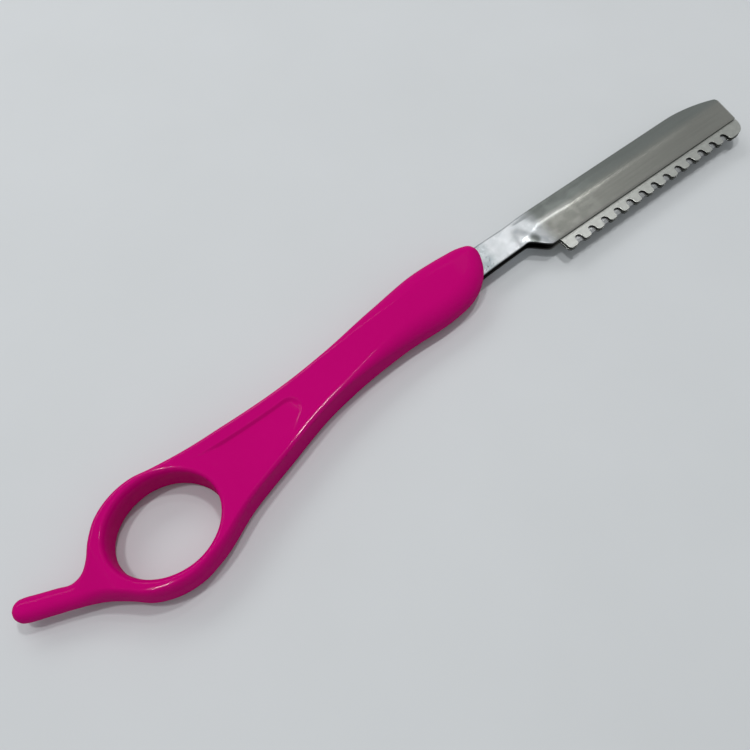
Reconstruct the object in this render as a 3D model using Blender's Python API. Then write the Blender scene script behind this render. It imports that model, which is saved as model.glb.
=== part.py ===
"""Hair shaping razor.

A moulded grip with a finger ring and a tail, a holder folded from one sheet of steel, a comb guard
that slides into the holder from its tip, and the single-edged blade that the guard carries.
Metres. +X runs from the tail to the tip, +Y towards the folded spine, +Z up. The razor lies flat at
z = 0, and its origin is under the middle of its outline.
"""
import math

import bmesh
import bpy
from mathutils import Vector, geometry

# Grip: the centre of the ring's hole is its datum, and the tail leaves the ring towards -X.
GRIP_THICKNESS = 0.0080
GRIP_LENGTH = 0.08895
GRIP_WIDTH = 0.0135
RING_HOLE_LENGTH = 0.0219
RING_HOLE_WIDTH = 0.0186
RING_WALL = 0.0028
RING_END_WALL = 0.00305
RING_SET_BACK = 0.00105
TAIL_DIAMETER = 0.0044
TAIL_REACH = 0.0150
TAIL_RISE = 0.00275
TAIL_DROOP = math.radians(21.5)

# Rounding of the grip's edges: how far it reaches in from the outline, and how far down.
RING_EDGE_INSET = 0.00125
RING_EDGE_DROP = 0.0030
WAIST_EDGE_RADIUS = 0.0008
FRONT_EDGE_INSET = 0.0042
FRONT_EDGE_DROP = 0.0033

# Shallow panel between the ring and the waist, deepest along its upper edge.
PANEL_DEPTH = 0.0005
PANEL_UPPER_MARGIN = 0.0028
PANEL_LOWER_MARGIN = 0.0016
PANEL_HOLE_MARGIN = 0.0022
PANEL_LENGTH = 0.0210
PANEL_WALL = 0.0007
PANEL_CORNER = 0.0024

# Blade, the size that the head is made to.
BLADE_LENGTH = 0.0620
BLADE_WIDTH = 0.0084
BLADE_THICKNESS = 0.00025
BLADE_BEVEL = 0.0008
BLADE_CORNER = 0.0012
BLADE_HEEL_GAP = 0.0006
BLADE_TOE_GAP = 0.0008

# Comb guard: thin sheet folded over the blade's back, with its teeth past the cutting edge.
GUARD_SHEET = 0.0003
GUARD_SET_BACK = 0.0025
GUARD_HEEL_CORNER = 0.0009
GUARD_TOE_CORNER = 0.0038
GUARD_TOE_DEPTH = 0.0004
TOOTH_REACH = 0.0005
TOOTH_CORNER = 0.00075
NOTCH_PITCH = 0.00435
NOTCH_WIDTH = 0.0020
NOTCH_DEPTH = 0.0021
FIRST_NOTCH = 0.00385
TOE_LAND = 0.0005
COMB_REACH = 0.0036

# Holder: two leaves and the spine that joins them, narrowed to a neck and a tang.
HOLDER_SHEET = 0.0004
SLIDE_CLEARANCE = 0.00015
LEAF_HEIGHT = 0.0109
LEAF_RISE = 0.0003
NECK_PLACE = 0.01355
NECK_HEIGHT = 0.0070
NECK_LENGTH = 0.0108
NECK_THICKNESS = 0.0022
STEP_LENGTH = 0.0045
RIDGE_RISE = 0.0003
RIDGE_HEIGHT = 0.0061
RIDGE_ROUNDING = 0.0006
RIDGE_LEAD = 0.0025
TOE_PROUD = 0.0004
TIP_SWEEP_LENGTH = 0.0168
TIP_SWEEP_DROP = 0.0031
TIP_LEAN = 0.0019
TIP_CORNER = 0.0008

# Tang, moulded into the grip and held by two plastic pins through its holes.
TANG_LENGTH = 0.0400
TANG_UPPER_DROP = 0.0034
TANG_LOWER_DROP = 0.0022
TANG_HOLE_DIAMETER = 0.0032
TANG_CLEARANCE = 0.0003
CUT_OVERRUN = 0.0020

# Outline of the grip, as shares of its length from the hole's centre and of its width.
UPPER_EDGE_SHARES = [(0.15, 0.755), (0.35, 0.735), (0.50, 0.825), (0.66, 1.035), (0.80, 1.18),
                     (0.915, 1.165), (0.958, 1.13), (0.987, 1.04)]
FRONT_SHARES = (0.997, 0.89)
LOWER_EDGE_SHARES = [(0.987, 0.68), (0.955, 0.41), (0.90, 0.22), (0.81, 0.145), (0.68, 0.18),
                     (0.54, 0.155), (0.43, 0.05), (0.30, -0.195)]
# Where the lower edge meets the ring, as shares of the ring's half length and half width.
LOWER_ARM_SHARES = [(1.08, -0.513), (0.54, -0.82)]
# Where the tail meets the ring, as shares of the tail's reach and of its rise.
UPPER_FILLET_SHARES = [(0.73, 0.60), (0.88, 0.71), (1.0, 1.25)]
LOWER_FILLET_SHARES = [(0.95, -1.66)]
# Sides of the tail, as shares of its straight run.
UPPER_TAIL_SHARES = (0.28, 0.56)
LOWER_TAIL_SHARES = (0.86, 0.43)
# Where the edge changes its rounding, as shares of the tail's reach and of the grip's length.
TAIL_BLEND_SHARE = 0.30
WAIST_BLEND_SHARES = (0.02, 0.22)
FRONT_BLEND_SHARES = (0.45, 0.78)
# Most of a wall that its rounding may take, and of the tail's radius.
WALL_SHARE = 0.45
ROUND_SHARE = 0.92
# Depth of the panel along its lower edge, how far its corner tightens, and the tang's pins.
PANEL_FADE_SHARE = 0.10
PANEL_CORNER_SHARE = 0.50
TANG_PIN_SHARES = (0.35, 0.78)

ROUNDING_STEPS = 5
OUTLINE_STEPS = 4
CORE_STEPS = 12
HOLE_POINTS = 48
PIN_SIDES = 24
PANEL_STEPS = 3
PANEL_SIDE_STEPS = 5
FOLD_STEPS = 8
STEP_STATIONS = 6
LEAF_STATIONS = 7
TIP_STATIONS = 8
ARC_STEP = math.radians(30)

GRIP_HALF = GRIP_THICKNESS / 2
TAIL_RADIUS = TAIL_DIAMETER / 2
HOLE_HALF_LENGTH = RING_HOLE_LENGTH / 2
HOLE_HALF_WIDTH = RING_HOLE_WIDTH / 2
RING_HALF_LENGTH = HOLE_HALF_LENGTH + RING_END_WALL
RING_HALF_WIDTH = HOLE_HALF_WIDTH + RING_WALL
RING_LEFT = -RING_SET_BACK - RING_HALF_LENGTH
RING_INSET = min(RING_EDGE_INSET, WALL_SHARE * RING_WALL)
TAIL_END = RING_LEFT - TAIL_REACH
TAIL_RUN = TAIL_REACH - TAIL_DIAMETER

GUARD_LENGTH = BLADE_HEEL_GAP + BLADE_LENGTH + BLADE_TOE_GAP
GUARD_HALF = BLADE_THICKNESS / 2 + SLIDE_CLEARANCE + GUARD_SHEET
GUARD_HEIGHT = TOOTH_REACH + BLADE_WIDTH + SLIDE_CLEARANCE + GUARD_SHEET
LEAF_HALF = GUARD_HALF + SLIDE_CLEARANCE + HOLDER_SHEET
NECK_HALF = NECK_THICKNESS / 2
LEAF_START = NECK_LENGTH + STEP_LENGTH
HEEL_X = LEAF_START + GUARD_SET_BACK
COMB_Y = LEAF_RISE - LEAF_HEIGHT - COMB_REACH
TIP_X = HEEL_X + GUARD_LENGTH - TOE_PROUD + TIP_LEAN
TIP_Y = LEAF_RISE - TIP_SWEEP_DROP
PIN_RADIUS = TANG_HOLE_DIAMETER / 2 - TANG_CLEARANCE


def clear_scene():
    for item in list(bpy.data.objects):
        bpy.data.objects.remove(item, do_unlink=True)


def plain_material(name, colour, roughness, metallic):
    """Finish of one piece."""
    made = bpy.data.materials.new(name)
    made.use_nodes = True
    shader = made.node_tree.nodes["Principled BSDF"]
    shader.inputs["Base Color"].default_value = (*colour, 1.0)
    shader.inputs["Roughness"].default_value = roughness
    shader.inputs["Metallic"].default_value = metallic
    return made


def add_piece(name, shape, material=None, sharp_angle=30):
    """Turns a finished shape into a named object with outward normals and smooth round faces."""
    bmesh.ops.recalc_face_normals(shape, faces=shape.faces)
    mesh = bpy.data.meshes.new(name)
    shape.to_mesh(mesh)
    shape.free()
    mesh.shade_smooth()
    mesh.set_sharp_from_angle(angle=math.radians(sharp_angle))
    piece = bpy.data.objects.new(name, mesh)
    bpy.context.scene.collection.objects.link(piece)
    if material:
        mesh.materials.append(material)
    return piece


def cut_away(piece, cutter):
    """Takes the cutter's shape out of the piece. The cutter isn't part of the razor."""
    cutter.hide_render = True
    cutter.display_type = "WIRE"
    cut = piece.modifiers.new(cutter.name, "BOOLEAN")
    cut.operation = "DIFFERENCE"
    cut.solver = "EXACT"
    cut.object = cutter


def bridge(shape, first, second):
    """Joins two closed rows of points by a band of quads."""
    for i, point in enumerate(first):
        j = (i + 1) % len(first)
        shape.faces.new((point, first[j], second[j], second[i]))


def add_loft(shape, rows):
    """Adds closed rows of points, joined one after another, and caps both ends."""
    made = [[shape.verts.new(point) for point in row] for row in rows]
    for a, b in zip(made, made[1:]):
        bridge(shape, a, b)
    shape.faces.new(made[0])
    shape.faces.new(made[-1])


def add_cylinder(shape, radius, half_height, centre):
    """Adds an upright closed cylinder."""
    turns = [2 * math.pi * i / PIN_SIDES for i in range(PIN_SIDES)]
    add_loft(shape, [[(centre[0] + radius * math.cos(t), centre[1] + radius * math.sin(t), level)
                      for t in turns] for level in (-half_height, half_height)])


def mix(a, b, t):
    return a + (b - a) * t


def share_between(value, start, end):
    """0 up to start, 1 from end on, and a straight rise between them."""
    return min(1.0, max(0.0, (value - start) / (end - start)))


def ease(value, start, end):
    """0 up to start, 1 from end on, and a smooth rise between them."""
    t = share_between(value, start, end)
    return t * t * (3 - 2 * t)


def arc(x, y, radius, first, last):
    """Points of an arc round a centre, between two angles in degrees."""
    first, last = math.radians(first), math.radians(last)
    steps = max(2, round(abs(last - first) / ARC_STEP))
    turns = [mix(first, last, i / steps) for i in range(steps + 1)]
    return [(x + radius * math.cos(t), y + radius * math.sin(t)) for t in turns]


def smooth_curve(points, steps):
    """Evenly rounded curve through the points, open at both ends."""
    row = [Vector(p) for p in points]
    row = [2 * row[0] - row[1]] + row + [2 * row[-1] - row[-2]]
    curve = []
    for four in zip(row, row[1:], row[2:], row[3:]):
        knots = [0.0]
        for p, q in zip(four, four[1:]):
            knots.append(knots[-1] + math.sqrt((q - p).length))
        for i in range(steps):
            t = mix(knots[1], knots[2], i / steps)
            level = four
            for gap in (1, 2):
                level = [mix(p, q, (t - knots[k]) / (knots[k + gap] - knots[k]))
                         for k, (p, q) in enumerate(zip(level, level[1:]))]
            curve.append(mix(level[0], level[1], (t - knots[1]) / (knots[2] - knots[1])))
    return curve + [row[-2]]


def inside(point, loop):
    """Whether a plan point lies inside a closed loop."""
    found = False
    for p, q in zip(loop, loop[1:] + loop[:1]):
        if (p[1] > point[1]) != (q[1] > point[1]):
            if point[0] < p[0] + (point[1] - p[1]) * (q[0] - p[0]) / (q[1] - p[1]):
                found = not found
    return found


def height_at(edge, x):
    """Height of an edge at one place along the grip, or at its nearest end."""
    for p, q in zip(edge, edge[1:]):
        if p.x != q.x and min(p.x, q.x) <= x <= max(p.x, q.x):
            return mix(p.y, q.y, (x - p.x) / (q.x - p.x))
    return min(edge, key=lambda p: abs(p.x - x)).y


def ring_point(degrees):
    """Point of the ring's outer edge."""
    turn = math.radians(degrees)
    return (RING_HALF_LENGTH * math.cos(turn) - RING_SET_BACK, RING_HALF_WIDTH * math.sin(turn))


def hole_point(turn, reach=0.0):
    """Point of the ring's hole, or at a distance outside it."""
    cosine, sine = math.cos(turn), math.sin(turn)
    outward = Vector((cosine / HOLE_HALF_LENGTH, sine / HOLE_HALF_WIDTH)).normalized()
    return Vector((HOLE_HALF_LENGTH * cosine, HOLE_HALF_WIDTH * sine)) + outward * reach


def tail_point(along, across):
    """Point beside the tail's axis, from the centre of its round end."""
    axis = Vector((math.cos(TAIL_DROOP), -math.sin(TAIL_DROOP)))
    side = Vector((-axis.y, axis.x))
    return Vector((TAIL_END + TAIL_RADIUS, TAIL_RISE)) + axis * along + side * across


def tail_cap(first, last):
    """Arc of the tail's round end. 180 degrees is its tip, and 90 degrees its upper side."""
    return [tail_point(x, y) for x, y in arc(0, 0, TAIL_RADIUS, first, last)]


def grip_point(shares):
    return (shares[0] * GRIP_LENGTH, shares[1] * GRIP_WIDTH)


def arm_point(shares):
    return (shares[0] * RING_HALF_LENGTH, shares[1] * RING_HALF_WIDTH)


def fillet_point(shares):
    return (TAIL_END + shares[0] * TAIL_REACH, shares[1] * TAIL_RISE)


def handle_outline():
    """Whole outline from the tail's tip over the upper side to the front, and back below."""
    points = tail_cap(180, 90)
    points += [tail_point(TAIL_RUN * share, TAIL_RADIUS) for share in UPPER_TAIL_SHARES]
    points += [fillet_point(p) for p in UPPER_FILLET_SHARES]
    points += [ring_point(d) for d in (150, 130, 110, 90, 70)]
    points += [grip_point(p) for p in UPPER_EDGE_SHARES]
    points.append(grip_point(FRONT_SHARES))
    front = (len(points) - 1) * OUTLINE_STEPS
    points += [grip_point(p) for p in LOWER_EDGE_SHARES]
    points += [arm_point(p) for p in LOWER_ARM_SHARES]
    points += [ring_point(d) for d in (-65, -85, -105, -125, -145)]
    points += [fillet_point(p) for p in LOWER_FILLET_SHARES]
    points += [tail_point(TAIL_RUN * share, -TAIL_RADIUS) for share in LOWER_TAIL_SHARES]
    points += tail_cap(270, 180)
    return smooth_curve(points, OUTLINE_STEPS)[:-1], front


def grip_edges(outline, front):
    """Upper and lower edge of the grip in front of the hole's centre."""
    upper = [p for p in outline[:front + 1] if p.x > 0 and p.y > 0]
    return upper, [p for p in outline[front:] if p.x > 0]


def edge_rounding(x):
    """Reach, drop and half thickness of the rounded edge along the grip."""
    tail = (ROUND_SHARE * TAIL_RADIUS, ROUND_SHARE * TAIL_RADIUS, TAIL_RADIUS)
    ring = (RING_INSET, RING_EDGE_DROP, GRIP_HALF)
    waist = (WAIST_EDGE_RADIUS, WAIST_EDGE_RADIUS, GRIP_HALF)
    front = (FRONT_EDGE_INSET, FRONT_EDGE_DROP, GRIP_HALF)
    changes = [(RING_LEFT - TAIL_BLEND_SHARE * TAIL_REACH, RING_LEFT + RING_END_WALL, ring)]
    for shares, after in ((WAIST_BLEND_SHARES, waist), (FRONT_BLEND_SHARES, front)):
        changes.append((shares[0] * GRIP_LENGTH, shares[1] * GRIP_LENGTH, after))
    value = tail
    for start, end, after in changes:
        t = ease(x, start, end)
        value = tuple(mix(a, b, t) for a, b in zip(value, after))
    return value


def rim_rounding(turn):
    """Reach and drop of the hole's rounded rim, which is crisp where the ring joins the grip."""
    t = ease(math.cos(turn), 0, 1)
    return mix(RING_INSET, WAIST_EDGE_RADIUS, t), mix(RING_EDGE_DROP, WAIST_EDGE_RADIUS, t)


def core_lines(upper, lower):
    """Lines through the middle of the material: the tail's axis, the hole, and the grip's middle."""
    hole = [hole_point(2 * math.pi * i / HOLE_POINTS) for i in range(HOLE_POINTS)]
    middle = []
    for i in range(CORE_STEPS + 1):
        x = mix(HOLE_HALF_LENGTH, GRIP_LENGTH - FRONT_EDGE_INSET, i / CORE_STEPS)
        middle.append(Vector((x, (height_at(upper, x) + height_at(lower, x)) / 2)))
    tail = [tail_point(0, 0), tail_point(TAIL_RUN, 0)]
    return [tail, hole + hole[:1], middle]


def nearest_on_lines(point, lines):
    found = []
    for line in lines:
        for a, b in zip(line, line[1:]):
            run = b - a
            found.append(a + run * share_between((point - a).dot(run), 0, run.length_squared))
    return min(found, key=lambda place: (place - point).length)


def inward_rims(outline, lines):
    """For each outline point, its inward direction and the rounding that has room there."""
    targets = [nearest_on_lines(p, lines) for p in outline]
    rims = []
    for i, point in enumerate(outline):
        around = [targets[(i + k) % len(outline)] for k in (-1, 0, 1)]
        way = sum(around, Vector((0, 0))) / len(around) - point
        reach, drop, half = edge_rounding(point.x)
        reach = min(reach, ROUND_SHARE * way.length)
        rims.append((point, way.normalized() * reach, drop, half))
    return rims


def rounded_bands(shape, rims):
    """Upper and lower rounded edge of the outline and of the hole, with the walls between them."""
    turns = [2 * math.pi * i / HOLE_POINTS for i in range(HOLE_POINTS)]
    bands = []
    for side in (1, -1):
        outer, inner = [], []
        for step in range(ROUNDING_STEPS + 1):
            bend = math.pi / 2 * step / ROUNDING_STEPS
            inward, below = 1 - math.cos(bend), 1 - math.sin(bend)
            outer.append([shape.verts.new((*(point + reach * inward), side * (half - drop * below)))
                          for point, reach, drop, half in rims])
            inner.append([])
            for turn in turns:
                reach, drop = rim_rounding(turn)
                place = hole_point(turn, reach * inward)
                inner[-1].append(shape.verts.new((*place, side * (GRIP_HALF - drop * below))))
        for rows in (outer, inner):
            for a, b in zip(rows, rows[1:]):
                bridge(shape, a, b)
        bands.append((outer, inner))
    for above, under in zip(*bands):
        bridge(shape, above[0], under[0])
    return [(outer[-1], inner[-1]) for outer, inner in bands]


def panel_loop(upper, lower, inset):
    """Outline of the shallow panel at a distance inside its edge."""
    margin = PANEL_HOLE_MARGIN + inset
    half_length, half_width = HOLE_HALF_LENGTH + margin, HOLE_HALF_WIDTH + margin
    corner = PANEL_CORNER - inset * PANEL_CORNER_SHARE
    nose_x = HOLE_HALF_LENGTH + PANEL_HOLE_MARGIN + PANEL_LENGTH - inset - corner

    def top(x):
        return height_at(upper, x) - PANEL_UPPER_MARGIN - inset

    def foot(x):
        return height_at(lower, x) + PANEL_LOWER_MARGIN + inset

    head_turn = math.asin(min(1.0, top(HOLE_HALF_LENGTH) / half_width))
    head_x = half_length * math.cos(head_turn)
    loop = []
    for i in range(PANEL_SIDE_STEPS):
        x = mix(head_x, nose_x, i / PANEL_SIDE_STEPS)
        loop.append((x, top(x)))
    loop += arc(nose_x, top(nose_x) - corner, corner, 90, -60)
    foot_turn = math.asin(max(-1.0, foot(HOLE_HALF_LENGTH) / half_width))
    foot_x = half_length * math.cos(foot_turn) + PANEL_CORNER
    for i in range(PANEL_SIDE_STEPS):
        x = mix(nose_x - corner, foot_x, i / (PANEL_SIDE_STEPS - 1))
        loop.append((x, foot(x)))
    for i in range(1, PANEL_SIDE_STEPS):
        turn = mix(foot_turn, head_turn, i / PANEL_SIDE_STEPS)
        loop.append((half_length * math.cos(turn), half_width * math.sin(turn)))
    depths = [mix(PANEL_FADE_SHARE, 1.0, share_between(y, foot(x), top(x))) for x, y in loop]
    return loop, depths


def panel_walls(shape, upper, lower):
    """Sloped wall of the shallow panel, from its edge in the face down to its floor."""
    rows = []
    for step in range(PANEL_STEPS + 1):
        loop, depths = panel_loop(upper, lower, PANEL_WALL * step / PANEL_STEPS)
        sink = PANEL_DEPTH * ease(step, 0, PANEL_STEPS)
        rows.append([shape.verts.new((*p, GRIP_HALF - sink * d)) for p, d in zip(loop, depths)])
    for a, b in zip(rows, rows[1:]):
        bridge(shape, a, b)
    return rows[0], rows[-1]


def fill_between(shape, outer, holes=()):
    """Fills the area inside a closed loop of points, but not its holes, with triangles."""
    points, edges = [], []
    for loop in (outer, *holes):
        start = len(points)
        points += loop
        edges += [(start + i, start + (i + 1) % len(loop)) for i in range(len(loop))]
    plan = [v.co.xy for v in points]
    outline = [tuple(v.co.xy) for v in outer]
    gaps = [[tuple(v.co.xy) for v in loop] for loop in holes]
    triangles = geometry.delaunay_2d_cdt(plan, edges, [], 0, 0)
    for face in triangles[2]:
        corners = [points[triangles[3][i][0]] for i in face]
        centre = sum((v.co.xy for v in corners), Vector((0, 0))) / len(corners)
        if inside(centre, outline) and not any(inside(centre, gap) for gap in gaps):
            shape.faces.new(corners)


def moulded_handle(material):
    """Moulded grip: rounded edge all round, the ring's hole, and the shallow panel."""
    outline, front = handle_outline()
    upper, lower = grip_edges(outline, front)
    shape = bmesh.new()
    rims = inward_rims(outline, core_lines(upper, lower))
    (top_edge, top_hole), (base_edge, base_hole) = rounded_bands(shape, rims)
    panel_edge, panel_floor = panel_walls(shape, upper, lower)
    fill_between(shape, top_edge, [top_hole, panel_edge])
    fill_between(shape, panel_floor)
    fill_between(shape, base_edge, [base_hole])
    middle_y = (min(p.y for p in outline) + max(p.y for p in outline)) / 2
    return add_piece("handle", shape, material), middle_y


def spine_line(x):
    """Height of the folded spine along the holder, from the neck's root."""
    rise = LEAF_RISE * ease(x, NECK_LENGTH - RIDGE_LEAD, LEAF_START)
    fall = TANG_UPPER_DROP * share_between(-x, 0, TANG_LENGTH)
    sweep = TIP_SWEEP_DROP * share_between(x, TIP_X - TIP_SWEEP_LENGTH, TIP_X) ** 2
    return rise - fall - sweep


def lower_line(x):
    """Lower edge of the leaves, which steps down where the neck ends."""
    step = (share_between(x, NECK_LENGTH, LEAF_START) + ease(x, NECK_LENGTH, LEAF_START)) / 2
    tang = TANG_LOWER_DROP * share_between(-x, 0, TANG_LENGTH)
    return mix(-NECK_HEIGHT, LEAF_RISE - LEAF_HEIGHT, step) - tang


def holder_section(x, corner):
    """One cut across the folded sheet: outside round the spine, then inside back again."""
    low, top = lower_line(x), spine_line(x) - corner
    spread = ease(x, NECK_LENGTH - RIDGE_LEAD, HEEL_X)
    half = mix(NECK_HALF, LEAF_HALF, spread)
    ridge = RIDGE_RISE * (spread - ease(x, TIP_X - TIP_SWEEP_LENGTH, TIP_X))
    neck_crest = (low + top - half) / 2
    leaf_crest = LEAF_RISE - LEAF_HEIGHT + RIDGE_HEIGHT
    crest = mix(neck_crest, leaf_crest, ease(x, NECK_LENGTH - RIDGE_LEAD, LEAF_START))
    crest = min(crest, top - half - 2 * RIDGE_ROUNDING)
    side = [(low, half), (crest - RIDGE_ROUNDING, half + ridge * ROUND_SHARE), (crest, half + ridge),
            (crest + RIDGE_ROUNDING, half + ridge * ROUND_SHARE)]
    turns = [mix(math.pi / 2, -math.pi / 2, i / FOLD_STEPS) for i in range(FOLD_STEPS + 1)]
    faces = []
    for radius in (half, half - HOLDER_SHEET):
        front = [(y, z - half + radius) for y, z in side]
        bend = [(top - half + radius * math.cos(t), radius * math.sin(t)) for t in turns]
        faces.append(front + bend + [(y, -z) for y, z in reversed(front)])
    return faces[0] + faces[1][::-1]


def holder_stations():
    """Places along the holder that have a section, and how far its top is cut back there."""
    places = [-TANG_LENGTH, -TANG_LENGTH / 2, 0.0]
    places += [NECK_LENGTH - RIDGE_LEAD, NECK_LENGTH - RIDGE_LEAD / 2, NECK_LENGTH]
    places += [NECK_LENGTH + STEP_LENGTH * i / STEP_STATIONS for i in range(1, STEP_STATIONS + 1)]
    sweep_x = TIP_X - TIP_SWEEP_LENGTH
    places += [mix(HEEL_X, sweep_x, i / LEAF_STATIONS) for i in range(LEAF_STATIONS + 1)]
    places += [mix(sweep_x, TIP_X - TIP_CORNER, i / TIP_STATIONS) for i in range(1, TIP_STATIONS + 1)]
    stations = [(x, 0.0) for x in places]
    stations += [(x, TIP_CORNER - y) for x, y in arc(TIP_X - TIP_CORNER, 0, TIP_CORNER, 90, 0)[1:]]
    return stations


def leaned_back(x, y):
    """Moves a point of the tip back, more towards the lower edge, so that the end edge leans."""
    lean = TIP_LEAN * ease(x, TIP_X - TIP_SWEEP_LENGTH, TIP_X)
    return x - lean * share_between(TIP_Y - y, 0, TIP_Y - LEAF_RISE + LEAF_HEIGHT)


def folded_holder(material):
    """Folded sheet holder, spine towards +Y. Its origin is the neck's root, on the spine."""
    shape = bmesh.new()
    rows = []
    for x, corner in holder_stations():
        section = holder_section(x, corner)
        rows.append([shape.verts.new((leaned_back(x, y), y, z)) for y, z in section])
    for a, b in zip(rows, rows[1:]):
        bridge(shape, a, b)
    count = len(rows[0])
    for row in (rows[0], rows[-1]):
        for i in range(count // 2 - 1):
            shape.faces.new((row[i], row[i + 1], row[count - 2 - i], row[count - 1 - i]))
    holder = add_piece("blade_holder", shape, material)
    holes = bmesh.new()
    for centre in pin_centres():
        add_cylinder(holes, TANG_HOLE_DIAMETER / 2, NECK_HALF + CUT_OVERRUN, centre)
    cutter = add_piece("tang_hole_cutter", holes)
    cutter.parent = holder
    cut_away(holder, cutter)
    return holder


def pin_centres():
    """Centres of the moulded pins through the tang, between its lower edge and its fold."""
    places = [-TANG_LENGTH * share for share in TANG_PIN_SHARES]
    return [(x, (spine_line(x) - NECK_HALF + lower_line(x)) / 2) for x in places]


def tang_pocket():
    """Space for the tang inside the grip, with the two pins left standing through it."""
    gap = TANG_CLEARANCE
    half = NECK_HALF + gap
    rows = []
    for x in (-TANG_LENGTH - gap, 0.0, CUT_OVERRUN):
        low, top = lower_line(x) - gap, spine_line(x) + gap
        rows.append([(x, low, -half), (x, top, -half), (x, top, half), (x, low, half)])
    shape = bmesh.new()
    add_loft(shape, rows)
    pocket = add_piece("tang_pocket_cutter", shape)
    pins = bmesh.new()
    for centre in pin_centres():
        add_cylinder(pins, PIN_RADIUS, half + CUT_OVERRUN, centre)
    pin_cutter = add_piece("moulded_pin_cutter", pins)
    pin_cutter.parent = pocket
    cut_away(pocket, pin_cutter)
    return pocket


def comb_outline():
    """Plan of the guard: x from its heel, y up from the points of its teeth."""
    half = NOTCH_WIDTH / 2
    last_notch = GUARD_LENGTH - GUARD_TOE_CORNER - TOE_LAND - TOOTH_CORNER - half
    count = int((last_notch - FIRST_NOTCH) / NOTCH_PITCH) + 1
    outline = [(0, GUARD_HEIGHT)]
    outline += arc(GUARD_HEEL_CORNER, GUARD_HEEL_CORNER, GUARD_HEEL_CORNER, 180, 270)
    for k in range(count):
        centre = FIRST_NOTCH + k * NOTCH_PITCH
        drop = GUARD_TOE_DEPTH if k == count - 1 else 0
        outline += arc(centre - half - TOOTH_CORNER, TOOTH_CORNER, TOOTH_CORNER, 270, 360)
        outline += arc(centre, NOTCH_DEPTH - half, half, 180, 0)
        outline += arc(centre + half + TOOTH_CORNER, TOOTH_CORNER - drop, TOOTH_CORNER, 180, 270)
    toe_x, toe_y = GUARD_LENGTH - GUARD_TOE_CORNER, GUARD_TOE_CORNER - GUARD_TOE_DEPTH
    outline += arc(toe_x, toe_y, GUARD_TOE_CORNER, 270, 360)
    outline.append((GUARD_LENGTH, GUARD_HEIGHT))
    return outline


def comb_guard(material):
    """Guard folded over the blade's back. Its origin is at its heel, level with the teeth's points."""
    shape = bmesh.new()
    for level in (-GUARD_HALF, GUARD_HALF):
        shape.faces.new([shape.verts.new((x, y, level)) for x, y in comb_outline()])
    front, back = shape.faces
    bridge(shape, list(front.verts), list(back.verts))
    folds = [face.edges[-1] for face in (front, back)]
    bmesh.ops.bevel(shape, geom=folds, offset=ROUND_SHARE * GUARD_HALF, segments=FOLD_STEPS // 2,
                    profile=0.5, affect="EDGES")
    guard = add_piece("comb_guard", shape, material)
    half = BLADE_THICKNESS / 2 + SLIDE_CLEARANCE
    low, top = -GUARD_TOE_DEPTH - CUT_OVERRUN, GUARD_HEIGHT - GUARD_SHEET
    channel = bmesh.new()
    add_loft(channel, [[(x, low, -half), (x, top, -half), (x, top, half), (x, low, half)]
                       for x in (-CUT_OVERRUN, GUARD_LENGTH + CUT_OVERRUN)])
    cutter = add_piece("blade_channel_cutter", channel)
    cutter.parent = guard
    cut_away(guard, cutter)
    return guard


def ground_blade(material):
    """Single-edged blade with clipped corners. Its origin is the heel end of its cutting edge."""
    half = BLADE_THICKNESS / 2
    start = [(0.0, BLADE_CORNER), (BLADE_CORNER - BLADE_BEVEL, BLADE_BEVEL), (BLADE_CORNER, 0.0)]
    ends = start + [(BLADE_LENGTH - x, edge) for x, edge in reversed(start)]
    shape = bmesh.new()
    rows = []
    for x, edge in ends:
        ground = max(edge, BLADE_BEVEL)
        back = BLADE_WIDTH - max(0.0, BLADE_CORNER - min(x, BLADE_LENGTH - x))
        section = [(edge, 0.0), (ground, half), (back, half), (back, -half), (ground, -half)]
        rows.append([(x, y, z) for y, z in section])
    add_loft(shape, rows)
    return add_piece("blade", shape, material, sharp_angle=2)


def build():
    clear_scene()
    plastic = plain_material("glossy_pink_plastic", (0.47, 0.0, 0.13), 0.18, 0.0)
    satin = plain_material("satin_steel", (0.45, 0.45, 0.43), 0.34, 1.0)
    matt = plain_material("matt_steel", (0.62, 0.63, 0.61), 0.45, 1.0)
    ground = plain_material("ground_steel", (0.70, 0.70, 0.69), 0.25, 1.0)

    handle, middle_y = moulded_handle(plastic)
    handle.location = (-(TAIL_END + GRIP_LENGTH + TIP_X) / 2, -middle_y, GRIP_HALF)
    holder = folded_holder(satin)
    holder.parent = handle
    holder.location = (GRIP_LENGTH, NECK_PLACE, 0)
    guard = comb_guard(matt)
    guard.parent = holder
    guard.location = (HEEL_X, COMB_Y, 0)
    edge = ground_blade(ground)
    edge.parent = guard
    edge.location = (BLADE_HEEL_GAP, TOOTH_REACH, 0)
    pocket = tang_pocket()
    pocket.parent = handle
    pocket.location = holder.location
    cut_away(handle, pocket)


build()
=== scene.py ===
"""Looks of a hair shaping razor that lies flat on a pale table."""
import math

import bmesh
import bpy
from mathutils import Matrix, Vector, geometry


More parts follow.
